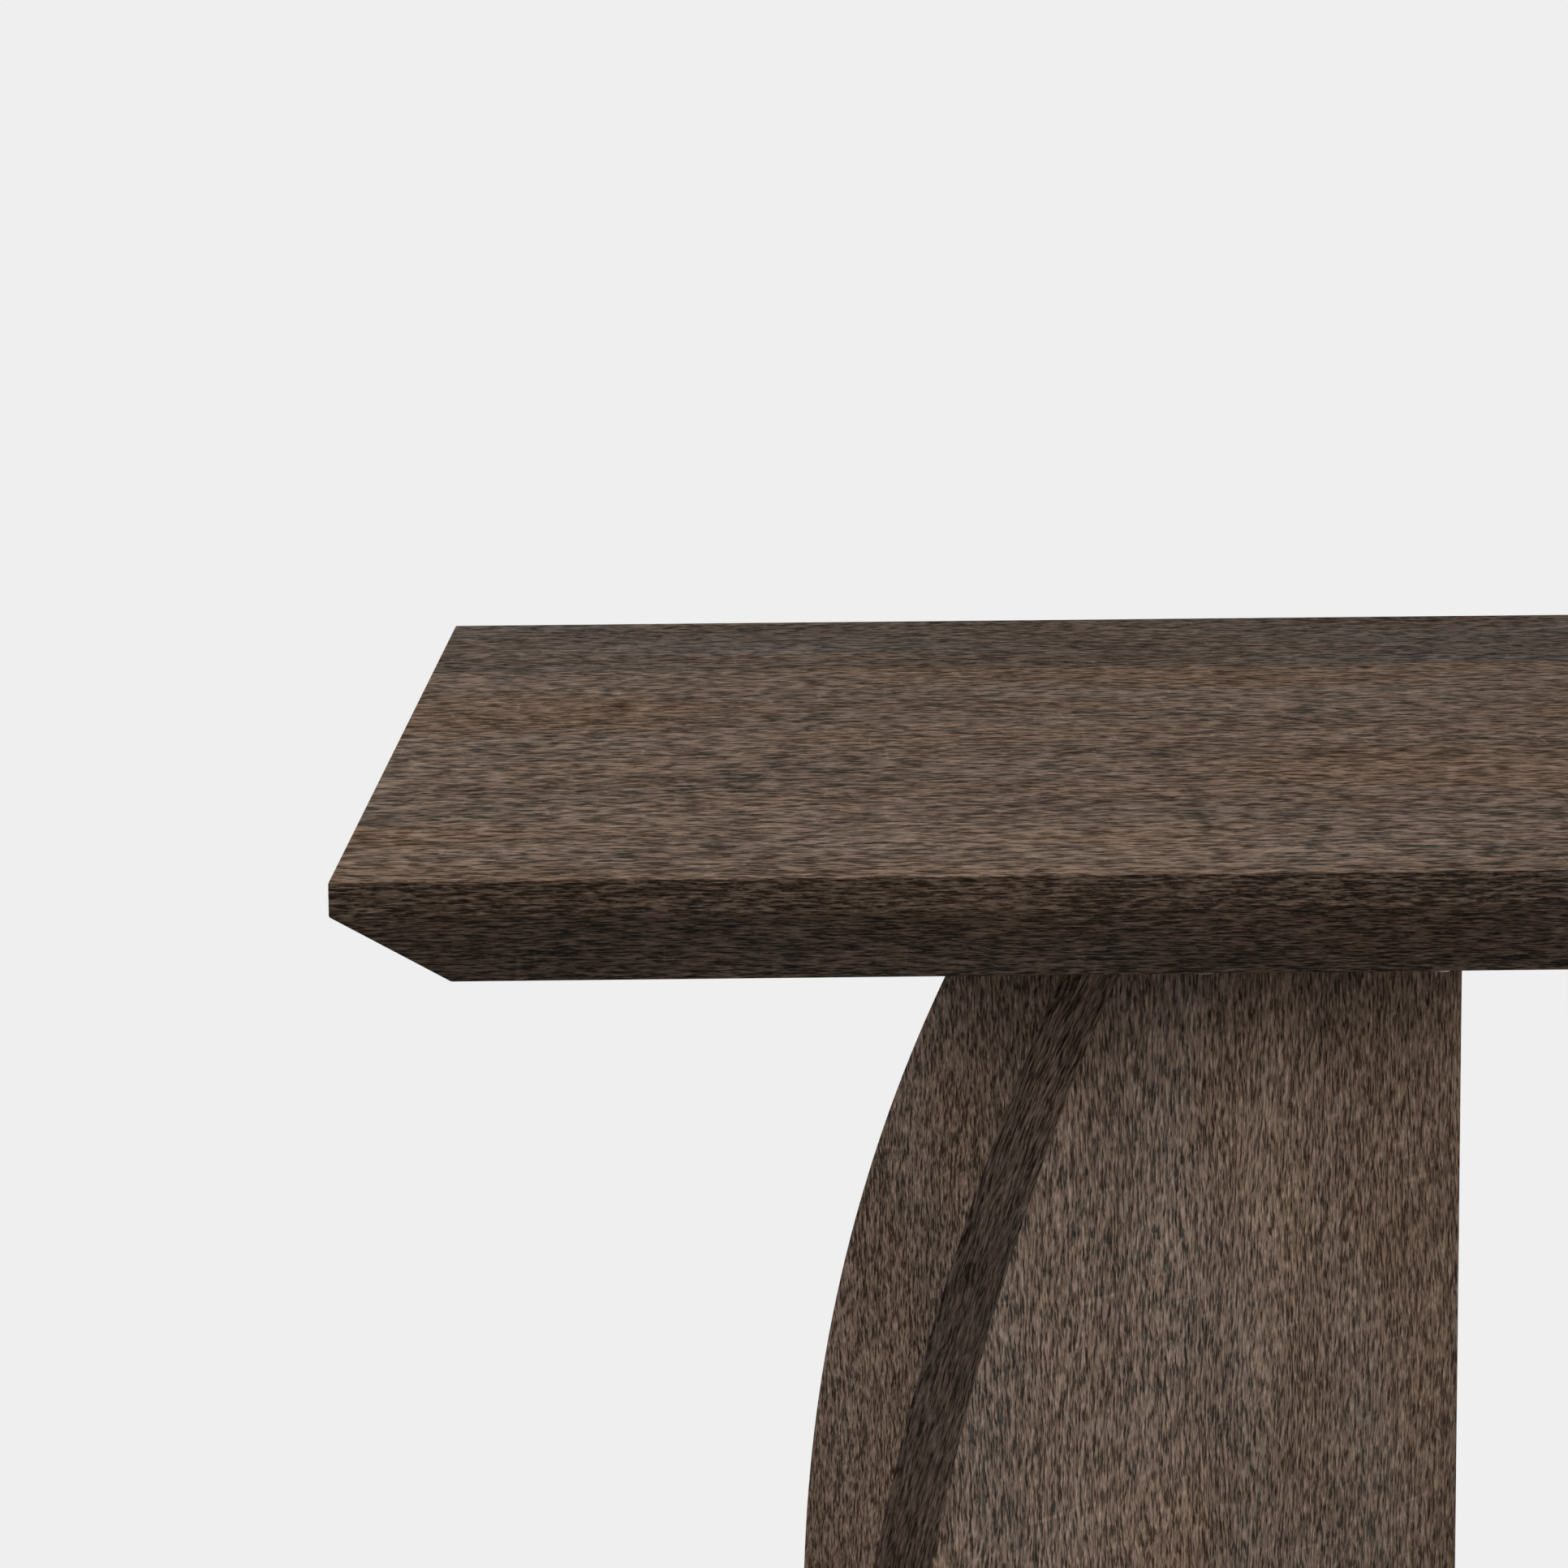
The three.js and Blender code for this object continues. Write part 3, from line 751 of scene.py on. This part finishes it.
def foot_mesh(rim, height):
    """Rim is the disc's radius and height the whole foot's, in millimetres."""
    def fluted(share):
        return rim - FLUTE_DEPTH * (0.5 - 0.5 * math.cos(2 * math.pi * share * FLUTES))

    top = DISC_HEIGHT
    dish = top - DISH_DEPTH
    sole = [(0.0, rim - 1.2), (0.25, rim - 0.75), (0.8, rim - 0.45)]
    edge = [(1.2, fluted), (top - 1.4, fluted), (top - 1.0, rim - 0.6), (top - 0.7, rim - 1.3)]
    collar = [(dish, rim - 2.2), (dish, COLLAR_RADIUS), (top - 0.2, COLLAR_RADIUS - 0.2)]
    neck = [(top, COLLAR_RADIUS - 0.5), (top, STUD_CORE)]
    rings = [ring(level, radius, FOOT_SIDES) for level, radius in sole + edge + collar + neck]
    low, high = top + STUD_START, height - STUD_END
    rings += thread_rings(STUD_CORE, STUD_CREST, STUD_PITCH, low, high, FOOT_SIDES)
    rings.append(ring(height, STUD_CORE - STUD_CHAMFER, FOOT_SIDES))
    return skin("levelling_foot", rings)


low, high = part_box("left_apex_foot")
foot = foot_mesh((high.x - low.x) / 2 * MILLIMETRES, (high.z - low.z) * MILLIMETRES)
print("a levelling foot has", len(foot.polygons), "faces")

# %% [markdown]
# Above each foot a brass insert sits in the panel: a sleeve with a coarse thread outside, which
# bites into the wood, and a fine one inside, which takes the stud. Its rings run up the outside and
# back down the inside, and the skin joins the last to the first, as a tube.

# %% Threaded inserts
INSERT_SIDES = 32
INSERT_CREST, INSERT_CORE, INSERT_PITCH = 4.5, 4.0, 2.4
INSERT_BORE, BORE_THREAD_DEPTH, BORE_CHAMFER = 3.3, 0.25, 0.3
OUTSIDE_END, INSIDE_END = 0.4, 0.6


def insert_mesh(length):
    low, high = OUTSIDE_END, length - OUTSIDE_END
    outside = thread_rings(INSERT_CORE, INSERT_CREST, INSERT_PITCH, low, high, INSERT_SIDES)
    low, high = INSIDE_END, length - INSIDE_END
    groove = INSERT_BORE + BORE_THREAD_DEPTH
    inside = thread_rings(INSERT_BORE, groove, STUD_PITCH, low, high, INSERT_SIDES)
    profile = [(0.0, INSERT_CORE), (length, INSERT_CORE)]
    profile += [(length, INSERT_BORE + BORE_CHAMFER), (0.0, INSERT_BORE + BORE_CHAMFER)]
    lip, shoulder, upper_mouth, mouth = [ring(level, radius, INSERT_SIDES) for level, radius in profile]
    rings = [lip, *outside, shoulder, upper_mouth, *reversed(inside), mouth]
    return skin("foot_insert", rings, tube=True)


low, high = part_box("left_apex_foot_insert")
insert = insert_mesh((high.z - low.z) * MILLIMETRES)
feet = [name for name in nodes if name.endswith("_foot")]
for name in feet:
    set_piece(name, foot, zinc, middle_of(name))
    set_piece(name + "_insert", insert, brass, middle_of(name + "_insert"))
print(len(feet), "feet in their places, and as many inserts of", len(insert.polygons), "faces")

# %% [markdown]
# The wood screws show only their heads, on the underside, but they are whole: a pan head with a
# cross recess, a plain neck, a coarse thread and a point. The recess is cut straight into the mesh.
# The head's flat crown is left open, the outline of the cross is laid in it, the face between is
# filled with triangles, and the cross is sunk into the head with walls that lean in.

# %% Wood screws
SCREW_SIDES = 24
HEAD_HEIGHT, HEAD_RADIUS, CROWN_RADIUS = 3.5, 6.0, 4.2
NECK_RADIUS, NECK_SHARE = 2.1, 0.25
SCREW_CREST, SCREW_CORE, SCREW_PITCH = 2.75, 1.9, 2.6
SCREW_STEPS = 6
POINT_LENGTH = 6.0
CROSS_REACH, CROSS_HALF_WIDTH, CROSS_DEPTH, CROSS_LEAN = 2.7, 0.6, 1.9, 0.62


def cross_outline(height, scale):
    """The twelve corners of the cross recess, anticlockwise seen from above."""
    reach, half = CROSS_REACH * scale, CROSS_HALF_WIDTH * scale
    arm = [Vector((reach, -half, height)), Vector((reach, half, height)), Vector((half, half, height))]
    quarters = [Matrix.Rotation(quarter * math.pi / 2, 3, "Z") for quarter in range(4)]
    return [quarter @ point for quarter in quarters for point in arm]


def cut_cross(mesh):
    """Sinks the cross recess into the lowest face, which is the crown of the head."""
    body = bmesh.new()
    body.from_mesh(mesh)
    body.faces.ensure_lookup_table()
    crown = min(body.faces, key=lambda face: face.calc_center_median().z)
    rim = list(crown.edges)
    body.faces.remove(crown)
    mouth = cross_outline(-HEAD_HEIGHT, 1.0)
    bottom = cross_outline(CROSS_DEPTH - HEAD_HEIGHT, CROSS_LEAN)
    upper = [body.verts.new(point / MILLIMETRES) for point in mouth]
    lower = [body.verts.new(point / MILLIMETRES) for point in bottom]
    outline = [body.edges.new((upper[i - 1], upper[i])) for i in range(len(upper))]
    bmesh.ops.triangle_fill(body, use_beauty=True, use_dissolve=False, edges=rim + outline)
    for i in range(len(upper)):
        body.faces.new((upper[i - 1], upper[i], lower[i], lower[i - 1]))
    body.faces.new(lower)
    bmesh.ops.recalc_face_normals(body, faces=body.faces)
    body.to_mesh(mesh)
    body.free()
    mesh.set_sharp_from_angle(angle=TURNED_SHARP_FROM)


def screw_mesh(length):
    """A screw along Z with its head below 0, and its length from the head's bearing face up."""
    crown = [(-HEAD_HEIGHT, CROWN_RADIUS), (-3.25, 4.9), (-2.8, 5.5), (-2.1, 5.9), (-1.3, HEAD_RADIUS)]
    seat = [(-0.3, HEAD_RADIUS), (0.0, HEAD_RADIUS - 0.3), (0.0, NECK_RADIUS)]
    rings = [ring(level, radius, SCREW_SIDES) for level, radius in crown + seat]
    rings += thread_rings(
        SCREW_CORE, SCREW_CREST, SCREW_PITCH, length * NECK_SHARE, length,
        SCREW_SIDES, per_turn=SCREW_STEPS, point=POINT_LENGTH
    )
    mesh = skin(f"wood_screw_{round(length)}", rings)
    cut_cross(mesh)
    return mesh


print("a screw's head is", 2 * HEAD_RADIUS, "mm wide and", HEAD_HEIGHT, "mm high")

# %% [markdown]
# Most screws point straight up, into a bearer or the top. Those through a cleat into a panel lie
# level and point outwards from the inside of the V. Each takes its length from its CAD node's box.
# A level screw's box is no help there, because it lies across the axes, so its length is given, and
# its point goes to the corner of the box.

# %% Screws in their places
LEVEL_SCREW_LENGTH = 30.0


def screw_way(node):
    """The way a screw points, the place of its head's bearing face and its length in metres."""
    low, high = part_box(node)
    head = HEAD_HEIGHT / MILLIMETRES
    if not node.endswith("cleat_screw_arm"):
        return Vector((0, 0, 1)), middle_of(node) + Vector((0, 0, head)), (high.z - low.z) - head
    toward_x = 1 if node.startswith("left") else -1
    toward_y = -1 if "front" in node else 1
    way = Vector((toward_x, toward_y, 0)).normalized()
    tip_x = high.x if toward_x > 0 else low.x
    tip_y = high.y if toward_y > 0 else low.y
    tip = Vector((tip_x, tip_y, (low.z + high.z) / 2))
    length = LEVEL_SCREW_LENGTH / MILLIMETRES
    return way, tip - way * length, length


screw_meshes = {}
screws = [name for name, slot in slots.items() if "screw" in name]
for name in screws:
    way, bearing, length = screw_way(name)
    size = round(length * MILLIMETRES)
    if size not in screw_meshes:
        screw_meshes[size] = screw_mesh(float(size))
    set_piece(name, screw_meshes[size], zinc, bearing, way)
print(len(screws), "screws, of", sorted(screw_meshes), "mm")

# %% [markdown]
# The studio is a wide round floor under an even pale sky. To the camera, and in the metal's
# reflections, floor and sky are one plain grey, so that no horizon shows. To the rest of the light
# both are darker than they look: that keeps the underside of the top in shade, as it is on a stand
# without a white floor close below it.

# %% Sky
BACKGROUND = (0.863, 0.863, 0.863, 1.0)
SKY_FILL = (0.30, 0.30, 0.30, 1.0)


def seen_directly(start):
    """1 for what the camera sees, also in a mirror or through glass, and 0 for soft light."""
    kinds = ("Is Camera Ray", "Is Glossy Ray", "Is Transmission Ray")
    camera, mirror, glass = [start.node("LightPath", out=kind) for kind in kinds]
    return start.math("MAXIMUM", start.math("MAXIMUM", camera, mirror), glass)


def make_sky():
    world = bpy.data.worlds.new("studio")
    world.use_nodes = True
    tree = world.node_tree
    tree.nodes.clear()
    start = Wire(tree)
    colour = start.blend(seen_directly(start), SKY_FILL, BACKGROUND)
    sky = start.node("Background", values={"Color": colour, "Strength": 1.0})
    end = tree.nodes.new("ShaderNodeOutputWorld")
    tree.links.new(sky.socket, end.inputs["Surface"])
    scene.world = world


make_sky()
print("the sky looks", BACKGROUND[0], "and lights as", SKY_FILL[0])

# %% [markdown]
# The floor is a real pale surface near the table, where it keeps the soft shadow, and fades into
# the plain grey farther out. Seen from below it is clear, so that a camera under the table looks up
# at the underside, the feet and the screws.

# %% Floor
FLOOR_FILL = (0.12, 0.12, 0.12, 1.0)
FLOOR_PALE = (0.58, 0.58, 0.58, 1.0)
FLOOR_ROUGHNESS = 0.9
FLOOR_RADIUS = 40.0
FLOOR_SIDES = 96
SHADOW_FULL, SHADOW_GONE = 0.8, 1.6
SHADOW_SQUEEZE = 2.2


def make_floor():
    mesh = bpy.data.meshes.new("floor")
    mesh.from_pydata(ring(0.0, FLOOR_RADIUS, FLOOR_SIDES), [], [list(range(FLOOR_SIDES))])
    floor = bpy.data.objects.new("floor", mesh)
    scene.collection.objects.link(floor)

    material, shader, start = make_material("floor")
    x, y, _ = start.node("TexCoord", out="Object").parts()
    away = start.math("SQRT", x * x + SHADOW_SQUEEZE * y * y)
    seen = seen_directly(start)
    feed(start, shader, "Base Color", start.blend(seen, FLOOR_FILL, FLOOR_PALE))
    shader.inputs["Roughness"].default_value = FLOOR_ROUGHNESS
    shader.inputs["Specular IOR Level"].default_value = 0.0
    plain = start.node("Emission", values={"Color": BACKGROUND, "Strength": 1.0})
    factor = seen * away.between(SHADOW_FULL, SHADOW_GONE)
    surface = Wire(start.tree, shader.outputs["BSDF"])
    mixed = start.node("MixShader", values={0: factor, 1: surface, 2: plain})
    clear = start.node("BsdfTransparent")
    below = start.node("NewGeometry", out="Backfacing")
    one_sided = start.node("MixShader", values={0: below, 1: mixed, 2: clear})
    start.tree.links.new(one_sided.socket, start.tree.nodes["Material Output"].inputs["Surface"])
    mesh.materials.append(material)


make_floor()
print("the floor reaches", FLOOR_RADIUS, "m, its shadow fades from", SHADOW_FULL, "to", SHADOW_GONE, "m")

# %% [markdown]
# Five softboxes model the table. A broad one hangs overhead for the top, and one stands high at the
# left end. The one at the right end is a low flat strip only a little above the table top: from
# there the top throws a short, clear shadow on the heads of the panels. A weak one near the floor in
# front opens up the bevel. The front as a whole gets little light, so the long edge stays dark while
# the two faces of the V, which look to the ends, stand out. The fifth is for whoever walks round to
# the back.

# %% Softboxes
TABLE_HEART = Vector((0.0, 0.0, 0.6))


def softbox(name, place, width, height, watts):
    data = bpy.data.lights.new(name, "AREA")
    data.shape = "RECTANGLE"
    data.size = width
    data.size_y = height
    data.energy = watts
    lamp = bpy.data.objects.new(name, data)
    scene.collection.objects.link(lamp)
    lamp.location = place
    lamp.rotation_euler = (TABLE_HEART - Vector(place)).to_track_quat("-Z", "Y").to_euler()
    lamp.visible_camera = False
    return lamp


softboxes = [
    softbox("overhead_softbox", (-0.45, -0.6, 3.4), width=2.5, height=1.5, watts=22.0),
    softbox("left_softbox", (-2.7, 0.0, 2.1), width=1.0, height=1.0, watts=60.0),
    softbox("right_strip", (2.9, -0.8, 1.04), width=1.0, height=0.2, watts=125.0),
    softbox("low_front_softbox", (-1.8, -3.0, 0.5), width=0.8, height=0.8, watts=12.0),
    softbox("back_softbox", (0.6, 3.0, 1.0), width=1.2, height=0.6, watts=80.0),
]
print("softboxes:", [lamp.name for lamp in softboxes])

# %% [markdown]
# The colours are made to look as they are written, and the plain view transform keeps them so.

# %% View transform
scene.view_settings.view_transform = "Standard"
